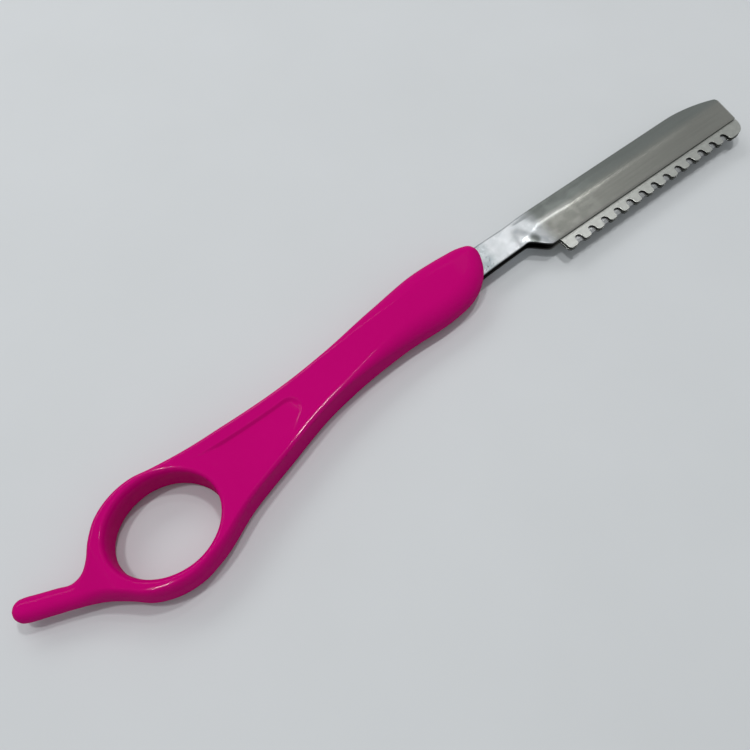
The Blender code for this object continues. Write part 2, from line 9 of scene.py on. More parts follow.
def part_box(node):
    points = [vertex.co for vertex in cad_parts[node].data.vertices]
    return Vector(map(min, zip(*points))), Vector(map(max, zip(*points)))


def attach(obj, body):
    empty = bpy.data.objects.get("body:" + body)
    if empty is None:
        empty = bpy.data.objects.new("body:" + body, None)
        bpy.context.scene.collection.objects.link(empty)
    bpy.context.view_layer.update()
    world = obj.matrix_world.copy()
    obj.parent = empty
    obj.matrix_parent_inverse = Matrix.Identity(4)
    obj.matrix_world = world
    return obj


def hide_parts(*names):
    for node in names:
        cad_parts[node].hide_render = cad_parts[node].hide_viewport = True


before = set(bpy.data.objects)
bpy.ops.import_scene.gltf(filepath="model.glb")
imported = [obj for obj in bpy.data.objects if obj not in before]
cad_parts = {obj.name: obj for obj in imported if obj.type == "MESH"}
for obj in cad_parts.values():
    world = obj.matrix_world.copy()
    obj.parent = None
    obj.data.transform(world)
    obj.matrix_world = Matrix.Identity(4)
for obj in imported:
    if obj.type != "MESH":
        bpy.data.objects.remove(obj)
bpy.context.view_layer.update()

# Handle: one injection moulding in glossy magenta plastic, with the finger ring and the tail in one
# piece with the grip. It is moulded round the holder's tang, with a shallow panel in its upper face.
# Plan points are measured from the centre of the ring's hole, and the tail leaves towards -X.
GRIP_THICKNESS = 0.0080
GRIP_LENGTH = 0.08895
GRIP_WIDTH = 0.0135
RING_HOLE_LENGTH = 0.0219
RING_HOLE_WIDTH = 0.0186
RING_WALL = 0.00279
RING_END_WALL = 0.00305
RING_SET_BACK = 0.00105
TAIL_DIAMETER = 0.0044
TAIL_REACH = 0.014998
TAIL_RISE = 0.00275
TAIL_DROOP = math.radians(21.5)
# Rounding of the edges: how far it reaches in from the outline, and how far down the wall.
RING_EDGE_INSET = 0.00125
RING_EDGE_DROP = 0.0030
WAIST_EDGE_RADIUS = 0.0008
FRONT_EDGE_INSET = 0.0042
FRONT_EDGE_DROP = 0.0033
PANEL_DEPTH = 0.0005
PANEL_UPPER_MARGIN = 0.0028
PANEL_LOWER_MARGIN = 0.0016
PANEL_HOLE_MARGIN = 0.0022
PANEL_LENGTH = 0.0210
PANEL_WALL = 0.0009
PANEL_CORNER = 0.0024
# Directions in degrees: where the outline follows the ring, and where the panel's round nose ends.
UPPER_RING_TURNS = (150, 130, 110, 90, 70)
LOWER_RING_TURNS = (-65, -85, -105, -125, -145)
PANEL_NOSE_TURN = -60
# Outline of the grip as shares of its length and width, then where the lower edge meets the ring and
# where the tail does, as shares of the ring's half length and half width and of the tail's reach and rise,
# and last the points along the tail's straight sides, as shares of its run.
UPPER_EDGE_SHARES = [(0.15, 0.755), (0.35, 0.735), (0.50, 0.825), (0.66, 1.035), (0.80, 1.18),
                     (0.915, 1.165), (0.958, 1.13), (0.987, 1.04)]
FRONT_SHARES = (0.997, 0.89)
LOWER_EDGE_SHARES = [(0.987, 0.68), (0.955, 0.41), (0.90, 0.22), (0.81, 0.145), (0.68, 0.18),
                     (0.54, 0.155), (0.43, 0.05), (0.30, -0.195)]
LOWER_ARM_SHARES = [(1.08, -0.513), (0.54, -0.82)]
UPPER_FILLET_SHARES = [(0.73, 0.60), (0.88, 0.71), (1.0, 1.25)]
LOWER_FILLET_SHARES = [(0.95, -1.66)]
UPPER_TAIL_SHARES = (0.28, 0.56)
LOWER_TAIL_SHARES = (0.86, 0.43)
# Where the edge's rounding changes: at the tail's root, as shares of its reach from the ring's left end,
# and at the waist and the front, as shares of the grip's length.
TAIL_BLEND_SHARES = (-0.34, 0.20)
WAIST_BLEND_SHARES = (0.02, 0.22)
FRONT_BLEND_SHARES = (0.45, 0.78)
# The most of a curve's radius that the rounding takes up.
ROUND_SHARE = 0.92
# How much of the panel's depth is left at its lower side, and at its heel beside the ring.
PANEL_FADE_SHARE = 0.03
PANEL_HEEL_SHARE = 0.10
PANEL_HEEL_SPAN = 0.0045
# How fast the panel's corners tighten down its wall.
PANEL_CORNER_SHARE = 0.50
# How fine the mesh is.
CURVE_STEPS = 24
ARC_STEP = math.radians(30)
FINE_ARC_STEP = math.radians(10)
OUTLINE_GAP = 0.00045
CURVATURE_SPAN = 6
LEAST_BULGE = 1e-7
ROUNDING_STEPS = 10
PANEL_STEPS = 8
PANEL_SIDE_STEPS = 30
ROOT_GAP = 0.0005

GRIP_HALF = GRIP_THICKNESS / 2
TAIL_RADIUS = TAIL_DIAMETER / 2
HOLE_HALF_LENGTH = RING_HOLE_LENGTH / 2
HOLE_HALF_WIDTH = RING_HOLE_WIDTH / 2
RING_HALF_LENGTH = HOLE_HALF_LENGTH + RING_END_WALL
RING_HALF_WIDTH = HOLE_HALF_WIDTH + RING_WALL
RING_LEFT = -RING_SET_BACK - RING_HALF_LENGTH
TAIL_END = RING_LEFT - TAIL_REACH
TAIL_RUN = TAIL_REACH - TAIL_DIAMETER
ROOT_START = RING_LEFT + TAIL_BLEND_SHARES[0] * TAIL_REACH
ROOT_END = RING_LEFT + TAIL_BLEND_SHARES[1] * TAIL_REACH


def mix(a, b, t):
    """The value that lies the share t of the way from a to b."""
    return a + (b - a) * t


def share_between(value, start, end):
    """0 up to start, 1 from end on, and a straight rise between them."""
    return min(1.0, max(0.0, (value - start) / (end - start)))


def ease(value, start, end):
    """0 up to start, 1 from end on, and a smooth rise between them."""
    t = share_between(value, start, end)
    return t * t * (3 - 2 * t)


def arc(x, y, radius, first, last, step=ARC_STEP):
    """Points of an arc round a centre, between two angles in degrees."""
    first, last = math.radians(first), math.radians(last)
    steps = max(2, round(abs(last - first) / step))
    turns = [mix(first, last, i / steps) for i in range(steps + 1)]
    return [(x + radius * math.cos(t), y + radius * math.sin(t)) for t in turns]


def smooth_curve(points):
    """Evenly rounded curve through the points, open at both ends."""
    row = [Vector(p) for p in points]
    row = [2 * row[0] - row[1]] + row + [2 * row[-1] - row[-2]]
    curve = []
    for four in zip(row, row[1:], row[2:], row[3:]):
        knots = [0.0]
        for p, q in zip(four, four[1:]):
            knots.append(knots[-1] + math.sqrt((q - p).length))
        for i in range(CURVE_STEPS):
            t = mix(knots[1], knots[2], i / CURVE_STEPS)
            level = four
            for gap in (1, 2):
                level = [mix(p, q, (t - knots[k]) / (knots[k + gap] - knots[k]))
                         for k, (p, q) in enumerate(zip(level, level[1:]))]
            curve.append(mix(level[0], level[1], (t - knots[1]) / (knots[2] - knots[1])))
    return curve + [row[-2]]


def evened(curve, gap):
    """The same closed curve with its points an even gap apart."""
    runs = [(p, q, (q - p).length) for p, q in zip(curve, curve[1:] + curve[:1])]
    whole = sum(run for p, q, run in runs)
    count = round(whole / gap)
    row, ahead = [], 0.0
    for p, q, run in runs:
        while ahead < run and len(row) < count:
            row.append(mix(p, q, ahead / run))
            ahead += whole / count
        ahead -= run
    return row


def ring_point(degrees):
    """Point of the ring's outline in a direction from its centre."""
    turn = math.radians(degrees)
    return (RING_HALF_LENGTH * math.cos(turn) - RING_SET_BACK, RING_HALF_WIDTH * math.sin(turn))


def tail_point(along, across):
    """Point beside the tail's axis, from the centre of its round end."""
    axis = Vector((math.cos(TAIL_DROOP), -math.sin(TAIL_DROOP)))
    side = Vector((-axis.y, axis.x))
    return Vector((TAIL_END + TAIL_RADIUS, TAIL_RISE)) + axis * along + side * across


def tail_cap(first, last):
    """Part of the tail's round end, between two directions in degrees."""
    return [tail_point(x, y) for x, y in arc(0, 0, TAIL_RADIUS, first, last)]


def shared(shares, length, width, start=0.0):
    """Points given as shares of a length, from where it starts, and of a width."""
    return [(start + x * length, y * width) for x, y in shares]


def handle_outline():
    """Whole outline from the tail's tip over the upper side to the front, and back below."""
    points = tail_cap(180, 90)
    points += [tail_point(TAIL_RUN * share, TAIL_RADIUS) for share in UPPER_TAIL_SHARES]
    points += shared(UPPER_FILLET_SHARES, TAIL_REACH, TAIL_RISE, TAIL_END)
    points += [ring_point(d) for d in UPPER_RING_TURNS]
    points += shared(UPPER_EDGE_SHARES + [FRONT_SHARES] + LOWER_EDGE_SHARES, GRIP_LENGTH, GRIP_WIDTH)
    points += shared(LOWER_ARM_SHARES, RING_HALF_LENGTH, RING_HALF_WIDTH)
    points += [ring_point(d) for d in LOWER_RING_TURNS]
    points += shared(LOWER_FILLET_SHARES, TAIL_REACH, TAIL_RISE, TAIL_END)
    points += [tail_point(TAIL_RUN * share, -TAIL_RADIUS) for share in LOWER_TAIL_SHARES]
    points += tail_cap(270, 180)
    return evened(smooth_curve(points)[:-1], OUTLINE_GAP)


def edge_rounding(x):
    """Reach, drop and half thickness of the rounded edge along the grip."""
    value = (ROUND_SHARE * TAIL_RADIUS, ROUND_SHARE * TAIL_RADIUS, TAIL_RADIUS)
    ring = (RING_EDGE_INSET, RING_EDGE_DROP, GRIP_HALF)
    waist = (WAIST_EDGE_RADIUS, WAIST_EDGE_RADIUS, GRIP_HALF)
    front = (FRONT_EDGE_INSET, FRONT_EDGE_DROP, GRIP_HALF)
    changes = [(ROOT_START, ROOT_END, ring)]
    for shares, after in ((WAIST_BLEND_SHARES, waist), (FRONT_BLEND_SHARES, front)):
        changes.append((shares[0] * GRIP_LENGTH, shares[1] * GRIP_LENGTH, after))
    for start, end, after in changes:
        t = ease(x, start, end)
        value = tuple(mix(a, b, t) for a, b in zip(value, after))
    return value


def smoothed(values, span):
    """A closed row of numbers, each the mean of those around it."""
    count = len(values)
    return [sum(values[(i + k) % count] for k in range(-span, span + 1)) / (2 * span + 1)
            for i in range(count)]


def inward_reaches(outline):
    """For each outline point, the way inward and the reach of the rounding that has room there."""
    count = len(outline)
    ways, reaches = [], []
    for i, point in enumerate(outline):
        before, after = outline[i - CURVATURE_SPAN], outline[(i + CURVATURE_SPAN) % count]
        along = (after - before).normalized()
        ways.append(Vector((along.y, -along.x)))
        bulge = (point - (before + after) / 2).dot(-ways[-1])
        radius = (after - before).length_squared / (8 * max(bulge, LEAST_BULGE))
        reaches.append(min(edge_rounding(point.x)[0], ROUND_SHARE * radius))
    return list(zip(outline, ways, smoothed(reaches, CURVATURE_SPAN)))


def hole_rims():
    """For each point of the hole, the way into the plastic and the reach of the rim's rounding."""
    count = round(math.pi * (HOLE_HALF_LENGTH + HOLE_HALF_WIDTH) / OUTLINE_GAP)
    rims = []
    for i in range(count):
        turn = 2 * math.pi * i / count
        point = Vector((HOLE_HALF_LENGTH * math.cos(turn), HOLE_HALF_WIDTH * math.sin(turn)))
        way = Vector((math.cos(turn) / HOLE_HALF_LENGTH, math.sin(turn) / HOLE_HALF_WIDTH)).normalized()
        grip_side = ease(math.cos(turn), 0, 1)
        reach = mix(RING_EDGE_INSET, WAIST_EDGE_RADIUS, grip_side)
        rims.append((point, way, reach, mix(RING_EDGE_DROP, WAIST_EDGE_RADIUS, grip_side)))
    return rims


def bridge(shape, first, second):
    """Joins two closed rows of points by a band of quads, and gives the quads back."""
    made = []
    for i, point in enumerate(first):
        j = (i + 1) % len(first)
        made.append(shape.faces.new((point, first[j], second[j], second[i])))
    return made


def rounded_band(shape, rims, side, drop_at):
    """Rounded edge from the wall up to the face. Gives back its first and its last row of points."""
    rows = []
    for step in range(ROUNDING_STEPS + 1):
        bend = math.pi / 2 * step / ROUNDING_STEPS
        rows.append([])
        for point, way, reach, *rest in rims:
            place = point + way * reach * (1 - math.cos(bend))
            drop, half = drop_at(place, rest)
            rows[-1].append(shape.verts.new((*place, side * (half - drop * (1 - math.sin(bend))))))
    for a, b in zip(rows, rows[1:]):
        bridge(shape, a, b)
    return rows[0], rows[-1]


def height_at(edge, x):
    """Height of an edge at one place along the grip."""
    for p, q in zip(edge, edge[1:]):
        if p.x != q.x and min(p.x, q.x) <= x <= max(p.x, q.x):
            return mix(p.y, q.y, (x - p.x) / (q.x - p.x))
    return min(edge, key=lambda p: abs(p.x - x)).y


def panel_loop(upper, lower, inset):
    """Outline of the shallow panel at a distance inside its edge, and how deep it is at each point."""
    margin = PANEL_HOLE_MARGIN + inset
    half_length, half_width = HOLE_HALF_LENGTH + margin, HOLE_HALF_WIDTH + margin
    corner = PANEL_CORNER - inset * PANEL_CORNER_SHARE
    nose_x = HOLE_HALF_LENGTH + PANEL_HOLE_MARGIN + PANEL_LENGTH - inset - corner

    def top(x):
        return height_at(upper, x) - PANEL_UPPER_MARGIN - inset

    def foot(x):
        return height_at(lower, x) + PANEL_LOWER_MARGIN + inset

    head_turn = math.asin(top(HOLE_HALF_LENGTH) / half_width)
    foot_turn = math.asin(foot(HOLE_HALF_LENGTH) / half_width)
    head_x = half_length * math.cos(head_turn)
    foot_x = half_length * math.cos(foot_turn) + PANEL_CORNER
    rise = [i / PANEL_SIDE_STEPS for i in range(PANEL_SIDE_STEPS)]
    loop = [(x, top(x)) for x in (mix(head_x, nose_x, t) for t in rise)]
    loop += arc(nose_x, top(nose_x) - corner, corner, 90, PANEL_NOSE_TURN, FINE_ARC_STEP)
    loop += [(x, foot(x)) for x in (mix(nose_x - corner, foot_x, t) for t in rise)]
    loop += [(half_length * math.cos(turn), half_width * math.sin(turn))
             for turn in (mix(foot_turn, head_turn, t) for t in rise[1:])]
    depths = []
    for x, y in loop:
        clear = (math.hypot(x / half_length, y / half_width) - 1) * half_length
        heel = mix(PANEL_HEEL_SHARE, 1.0, ease(clear, 0, PANEL_HEEL_SPAN))
        depths.append(heel * mix(PANEL_FADE_SHARE, 1.0, ease(y, foot(x), top(x))))
    return loop, depths


def inside(point, loop):
    """Whether a plan point lies inside a closed loop."""
    found = False
    for p, q in zip(loop, loop[1:] + loop[:1]):
        if (p.y > point.y) != (q.y > point.y):
            if point.x < p.x + (point.y - p.y) * (q.x - p.x) / (q.y - p.y):
                found = not found
    return found


def fill_between(shape, outer, holes=(), inner=(), height_of=None):
    """Fills a closed loop of points with triangles, but not its holes, by way of the inner points."""
    points, edges = [], []
    for loop in (outer, *holes):
        start = len(points)
        points += loop
        edges += [(start + i, start + (i + 1) % len(loop)) for i in range(len(loop))]
    loops = [[v.co.xy for v in loop] for loop in (outer, *holes)]
    points += [shape.verts.new((*p, height_of(p))) for p in inner]
    plan = [v.co.xy for v in points]
    _, _, triangles, sources, _, _ = geometry.delaunay_2d_cdt(plan, edges, [], 0, 0)
    for triangle in triangles:
        corners = [points[sources[i][0]] for i in triangle]
        centre = sum((v.co.xy for v in corners), Vector((0, 0))) / len(corners)
        if inside(centre, loops[0]) and not any(inside(centre, gap) for gap in loops[1:]):
            shape.faces.new(corners)


def root_points(rims):
    """Even points over the tail's root, clear of the rounded edges, where the face rises."""
    clear = [point + way * (reach + ROOT_GAP) for point, way, reach in rims]
    places = []
    columns = int((ROOT_END - ROOT_START) / ROOT_GAP)
    for i in range(columns):
        x = ROOT_START + i * ROOT_GAP
        heights = sorted(p.y for p in clear if abs(p.x - x) < ROOT_GAP)
        rows = int((heights[-1] - heights[0]) / ROOT_GAP) if heights else 0
        places += [Vector((x, heights[0] + k * ROOT_GAP)) for k in range(rows + 1)]
    hole = (HOLE_HALF_LENGTH + RING_EDGE_INSET + ROOT_GAP, HOLE_HALF_WIDTH + RING_EDGE_INSET + ROOT_GAP)
    return [p for p in places if math.hypot(p.x / hole[0], p.y / hole[1]) > 1]


def moulded_handle():
    """Rounded edge all round, the ring's hole, and the panel. Gives back the middle of its width too."""
    outline = handle_outline()
    rims, hole = inward_reaches(outline), hole_rims()
    nose = max(range(len(outline)), key=lambda i: outline[i].x)
    upper = [p for p in outline[:nose + 1] if p.x > 0 and p.y > 0]
    lower = [p for p in outline[nose:] if p.x > 0]
    shape = bmesh.new()
    walls = []
    for side in (1, -1):
        base, edge = rounded_band(shape, rims, side, lambda place, rest: edge_rounding(place.x)[1:])
        hole_base, hole_edge = rounded_band(shape, hole, side, lambda place, rest: (rest[0], GRIP_HALF))
        gaps = [hole_edge]
        if side > 0:
            rows = []
            for step in range(PANEL_STEPS + 1):
                loop, depths = panel_loop(upper, lower, PANEL_WALL * step / PANEL_STEPS)
                sink = PANEL_DEPTH * ease(step, 0, PANEL_STEPS)
                rows.append([shape.verts.new((*p, GRIP_HALF - sink * d)) for p, d in zip(loop, depths)])
            for a, b in zip(rows, rows[1:]):
                bridge(shape, a, b)
            fill_between(shape, rows[-1])
            gaps.append(rows[0])
        fill_between(shape, edge, gaps, root_points(rims), lambda p: side * edge_rounding(p.x)[2])
        walls.append((base, hole_base))
    for above, under in zip(*walls):
        bridge(shape, above, under)
    low_y, high_y = min(p.y for p in outline), max(p.y for p in outline)
    return shape, Vector((0.0, (low_y + high_y) / 2, 0.0))


def add_piece(name, shape, place, materials, body):
    """Object with smooth faces that takes the place of the solid of that name and moves with its body."""
    bmesh.ops.recalc_face_normals(shape, faces=shape.faces)
    bmesh.ops.translate(shape, verts=shape.verts, vec=place)
    mesh = bpy.data.meshes.new(name)
    shape.to_mesh(mesh)
    shape.free()
    mesh.shade_smooth()
    for material in materials:
        mesh.materials.append(material)
    piece = bpy.data.objects.new(name + "_finished", mesh)
    bpy.context.scene.collection.objects.link(piece)
    flat = piece.modifiers.new("flat_faces", "WEIGHTED_NORMAL")
    flat.keep_sharp = True
    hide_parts(name)
    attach(piece, body)
    return piece


# Sockets of the Mix node for colours, by number.
MIX_INPUTS = (6, 7)
MIX_OUTPUT = 2


class Wire:
    """A shader socket that adds, scales and compares like a number."""

    def __init__(self, socket):
        self.socket = socket

    def node(self, kind, settings, inputs, output=0):
        """Adds a node to the same material: its settings first, then its sockets' values or links."""
        tree = self.socket.id_data
        made = tree.nodes.new(kind)
        for name, value in settings.items():
            setattr(made, name, value)
        for name, value in inputs.items():
            if isinstance(value, Wire):
                tree.links.new(value.socket, made.inputs[name])
            else:
                made.inputs[name].default_value = value
        return Wire(made.outputs[output])

    def math(self, operation, *others):
        """A Math node's result, with this wire as its first value."""
        values = dict(enumerate((self, *others)))
        return self.node("ShaderNodeMath", {"operation": operation}, values)

    def __add__(self, other):
        return self.math("ADD", other)

    def __mul__(self, other):
        return self.math("MULTIPLY", other)

    def __sub__(self, other):
        return self.math("SUBTRACT", other)

    def __rsub__(self, other):
        return self.math("MULTIPLY", -1.0).math("ADD", other)

    __radd__ = __add__
    __rmul__ = __mul__

    def between(self, low, high):
        """0 up to low, 1 from high on, and a smooth rise between them."""
        values = {"Value": self, "From Min": low, "From Max": high}
        return self.node("ShaderNodeMapRange", {"interpolation_type": "SMOOTHSTEP"}, values)

    def noise(self, scale, detail=3.0, roughness=0.55):
        """Cloudy pattern from 0 to 1, with `scale` clouds a metre, on this wire as its place."""
        sizes = {"Vector": self, "Scale": scale, "Detail": detail, "Roughness": roughness}
        return self.node("ShaderNodeTexNoise", {}, sizes)

    def stretched(self, x, y, z):
        """This place with its axes scaled, for patterns drawn out along one of them."""
        return self.node("ShaderNodeVectorMath", {"operation": "MULTIPLY"}, {0: self, 1: (x, y, z)})

    def distance(self, point):
        """Distance of this place from a point, in metres."""
        return self.node("ShaderNodeVectorMath", {"operation": "DISTANCE"}, {0: self, 1: point}, "Value")

    def brightened(self, factor):
        """This colour times a factor."""
        return self.node("ShaderNodeVectorMath", {"operation": "SCALE"}, {0: self, "Scale": factor})

    def axis(self, number):
        """One coordinate of this place."""
        return self.node("ShaderNodeSeparateXYZ", {}, {0: self}, number)

    def blend(self, low, high):
        """Colour that goes from low to high as this wire goes from 0 to 1."""
        made = self.node("ShaderNodeMix", {"data_type": "RGBA"}, {0: self}, MIX_OUTPUT)
        for number, colour in zip(MIX_INPUTS, (low, high)):
            if isinstance(colour, Wire):
                self.socket.id_data.links.new(colour.socket, made.socket.node.inputs[number])
            else:
                made.socket.node.inputs[number].default_value = (*colour, 1.0)
        return made

    def bump(self, strength, distance):
        """Normal of a surface whose height follows this wire."""
        values = {"Height": self, "Strength": strength, "Distance": distance}
        return self.node("ShaderNodeBump", {}, values)


def new_finish(name):
    """Material with one surface shader, and a wire with the place on the piece, in metres."""
    made = bpy.data.materials.new(name)
    made.use_nodes = True
    coordinates = made.node_tree.nodes.new("ShaderNodeTexCoord")
    return made, Wire(coordinates.outputs["Object"])


def finish_with(made, **values):
    """Sets the shader's sockets, named with _ for a space, and gives back the material."""
    shader = made.node_tree.nodes["Principled BSDF"]
    for name, value in values.items():
        socket = shader.inputs[name.replace("_", " ")]
        if isinstance(value, Wire):
            made.node_tree.links.new(value.socket, socket)
        else:
            socket.default_value = value
    return made


PINK = (0.505, 0.0001, 0.156)
DEEP_PINK = (0.470, 0.0001, 0.142)
# The rounded edges shine a little more than the faces where they start to lean: a level is 1 on a face and
# 0 on a wall. That gloss grows along the waist and ends before the front, at shares of the grip's length.
FACE_GLOSS = 0.06
RING_EDGE_GLOSS = 0.08
WAIST_EDGE_GLOSS = 0.13
EDGE_GLOSS_DEPTH = 0.00005
STEEP_LEVELS = (0.955, 0.975)
FLAT_LEVELS = (0.991, 0.997)
GLOSS_GROWTH_SHARES = (0.15, 0.22)
GLOSS_END_SHARES = (0.42, 0.58)
# The tang's end is the holder's lowest X, and the ring's centre is one grip length behind the neck.
TANG_LENGTH = 0.0400
ring_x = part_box("blade_holder")[0].x + TANG_LENGTH - GRIP_LENGTH
made, place = new_finish("magenta_moulding")
tint = place.noise(60.0)
level = Wire(place.socket.node.outputs["Normal"]).axis(2).math("ABSOLUTE")
leaning = level.between(*STEEP_LEVELS) * (1.0 - level.between(*FLAT_LEVELS))
away = (place.axis(2) - GRIP_HALF).math("ABSOLUTE")
topmost = away.between(GRIP_HALF - 2 * EDGE_GLOSS_DEPTH, GRIP_HALF - EDGE_GLOSS_DEPTH)
front = place.axis(0).between(*[ring_x + share * GRIP_LENGTH for share in GLOSS_END_SHARES])
waist = place.axis(0).between(*[ring_x + share * GRIP_LENGTH for share in GLOSS_GROWTH_SHARES])
edge_gloss = leaning * topmost * (1.0 - front) * (RING_EDGE_GLOSS + WAIST_EDGE_GLOSS * waist)
moulding = finish_with(
    made,
    Base_Color=tint.blend(DEEP_PINK, PINK),
    Roughness=0.25 + place.noise(240.0) * 0.1,
    Normal=place.noise(300.0, detail=2.0).bump(strength=0.02, distance=0.0002),
    IOR=1.49,
    Specular_IOR_Level=0.0,
    Coat_Weight=FACE_GLOSS + edge_gloss,
    Coat_IOR=1.8,
    Coat_Roughness=0.06,
)
handle_shape, middle = moulded_handle()
handle_place = Vector((ring_x, 0.0, GRIP_HALF)) - middle
handle = add_piece("handle", handle_shape, handle_place, [moulding], "handle_and_holder")

# Blade holder: one sheet of stainless steel folded along its spine, with a ridge pressed along both
# leaves. Its neck is pressed flat and polished, and its tang is moulded into the grip. The sizes of the
# blade and of the guard stand first, because the holder's channel takes its own from them.
BLADE_LENGTH = 0.0620
BLADE_WIDTH = 0.0084
BLADE_THICKNESS = 0.00025
BLADE_HEEL_GAP = 0.0006
BLADE_TOE_GAP = 0.0008
GUARD_SHEET = 0.0003
GUARD_SET_BACK = 0.0025
TOOTH_REACH = 0.0005
COMB_REACH = 0.00345
# The folded sheet: its leaves, and its narrower neck, whose lower edge steps down into theirs.
HOLDER_SHEET = 0.0004
SLIDE_CLEARANCE = 0.00015
LEAF_HEIGHT = 0.01105
LEAF_RISE = 0.0003
NECK_PLACE = 0.01355
NECK_HEIGHT = 0.0070
NECK_LENGTH = 0.0108
NECK_TAPER = 0.0003
NECK_THICKNESS = 0.0022
STEP_LENGTH = 0.0045
# The pressed ridge starts a little before that step, and then settles lower along the leaf.
RIDGE_RISE = 0.00045
RIDGE_HEIGHT = 0.0062
RIDGE_END_HEIGHT = 0.0056
RIDGE_SETTLE_LENGTH = 0.0160
RIDGE_ROUNDING = 0.0009
RIDGE_LEAD = 0.0025
RIDGE_GROWTH_LENGTH = 0.0050
# The guard's toe stands out of the tip, whose spine sweeps down and whose end edge leans back.
TOE_PROUD = 0.0004
TIP_SWEEP_LENGTH = 0.0168
TIP_SWEEP_DROP = 0.0031
TIP_LEAN = 0.00187
TIP_CORNER = 0.0008
TIP_SHADE_BANDS = 5
# The tang leans down towards its end, its upper edge more than its lower one.
TANG_UPPER_DROP = 0.0034
TANG_LOWER_DROP = 0.0022
SHEET_BREAK = 0.00006
SIDE_STEPS = 24
FOLD_STEPS = 16
# A power of 1 is a half round fold, and a lower one has flatter sides and tighter bends.
FOLD_POWER = 0.5
STATION_GAP = 0.0006

GUARD_LENGTH = BLADE_HEEL_GAP + BLADE_LENGTH + BLADE_TOE_GAP
GUARD_HALF = BLADE_THICKNESS / 2 + SLIDE_CLEARANCE + GUARD_SHEET
GUARD_HEIGHT = TOOTH_REACH + BLADE_WIDTH + SLIDE_CLEARANCE + GUARD_SHEET
LEAF_HALF = GUARD_HALF + SLIDE_CLEARANCE + HOLDER_SHEET
NECK_HALF = NECK_THICKNESS / 2
LEAF_START = NECK_LENGTH + STEP_LENGTH
HEEL_X = LEAF_START + GUARD_SET_BACK
LEAF_FOOT = LEAF_RISE - LEAF_HEIGHT
COMB_Y = LEAF_FOOT - COMB_REACH
TIP_X = HEEL_X + GUARD_LENGTH - TOE_PROUD + TIP_LEAN
TIP_Y = LEAF_RISE - TIP_SWEEP_DROP
RIDGE_START = NECK_LENGTH - RIDGE_LEAD
SWEEP_START = TIP_X - TIP_SWEEP_LENGTH


def spine_line(x):
    """Height of the folded spine along the holder, from the neck's root."""
    rise = LEAF_RISE * ease(x, RIDGE_START, LEAF_START)
    fall = TANG_UPPER_DROP * share_between(-x, 0, TANG_LENGTH)
    sweep = TIP_SWEEP_DROP * share_between(x, SWEEP_START, TIP_X) ** 2
    return rise - fall - sweep


def lower_line(x):
    """Lower edge of the leaves, which steps down where the neck ends."""
    step = (share_between(x, NECK_LENGTH, LEAF_START) + ease(x, NECK_LENGTH, LEAF_START)) / 2
    tang = TANG_LOWER_DROP * share_between(-x, 0, TANG_LENGTH)
    neck = NECK_HEIGHT + NECK_TAPER * share_between(-x, -NECK_LENGTH, 0)
    return mix(-neck, LEAF_FOOT, step) - tang


def crest_line(x):
    """Height of the pressed ridge, which starts at the neck's lower corner and runs along the leaf."""
    climb = share_between(x, RIDGE_START, LEAF_START)
    settled = ease(x, LEAF_START, LEAF_START + RIDGE_SETTLE_LENGTH)
    height = LEAF_FOOT + mix(RIDGE_HEIGHT, RIDGE_END_HEIGHT, settled)
    return mix(lower_line(x), height, climb * (3 - climb) / 2)


def fold_turns():
    """Directions over half a turn, from the front of a folded sheet round to its back."""
    return [mix(math.pi / 2, -math.pi / 2, i / FOLD_STEPS) for i in range(FOLD_STEPS + 1)]


def holder_section(x, corner):
    """One cut across the folded sheet: outside round the spine, then inside back again."""
    low, top = lower_line(x), spine_line(x) - corner
    half = mix(NECK_HALF, LEAF_HALF, ease(x, RIDGE_START, LEAF_START))
    fold = top - half
    grown = ease(x, RIDGE_START, RIDGE_START + RIDGE_GROWTH_LENGTH)
    ridge = RIDGE_RISE * (grown - ease(x, SWEEP_START, TIP_X))
    crest = min(crest_line(x), fold - 2 * RIDGE_ROUNDING)

    def crown(y):
        """How far the pressed ridge stands out, with straight slopes and a rounded top."""
        span = fold - crest if y > crest else max(crest - low, RIDGE_ROUNDING)
        away = math.hypot(abs(y - crest) / span, RIDGE_ROUNDING / span) - RIDGE_ROUNDING / span
        return ridge * max(0.0, 1.0 - away)

    heights = [mix(low + SHEET_BREAK, fold, i / SIDE_STEPS) for i in range(SIDE_STEPS)]
    faces = []
    for radius, out in ((half, SHEET_BREAK), (half - HOLDER_SHEET, -SHEET_BREAK)):
        edge = [(low, radius + crown(low) - out)]
        side = [(y, radius + crown(y)) for y in heights]
        bend = [(fold + radius * abs(math.cos(t)) ** FOLD_POWER,
                 math.copysign(radius * abs(math.sin(t)) ** FOLD_POWER, math.sin(t)))
                for t in fold_turns()]
        faces.append(edge + side + bend + [(y, -z) for y, z in reversed(edge + side)])
    return faces[0] + faces[1][::-1]


def leaned_back(x, y):
    """X of a point of the tip, moved back more towards the lower edge, so that the end edge leans."""
    lean = TIP_LEAN * ease(x, SWEEP_START, TIP_X)
    return x - lean * share_between(TIP_Y - y, 0, TIP_Y - LEAF_FOOT)


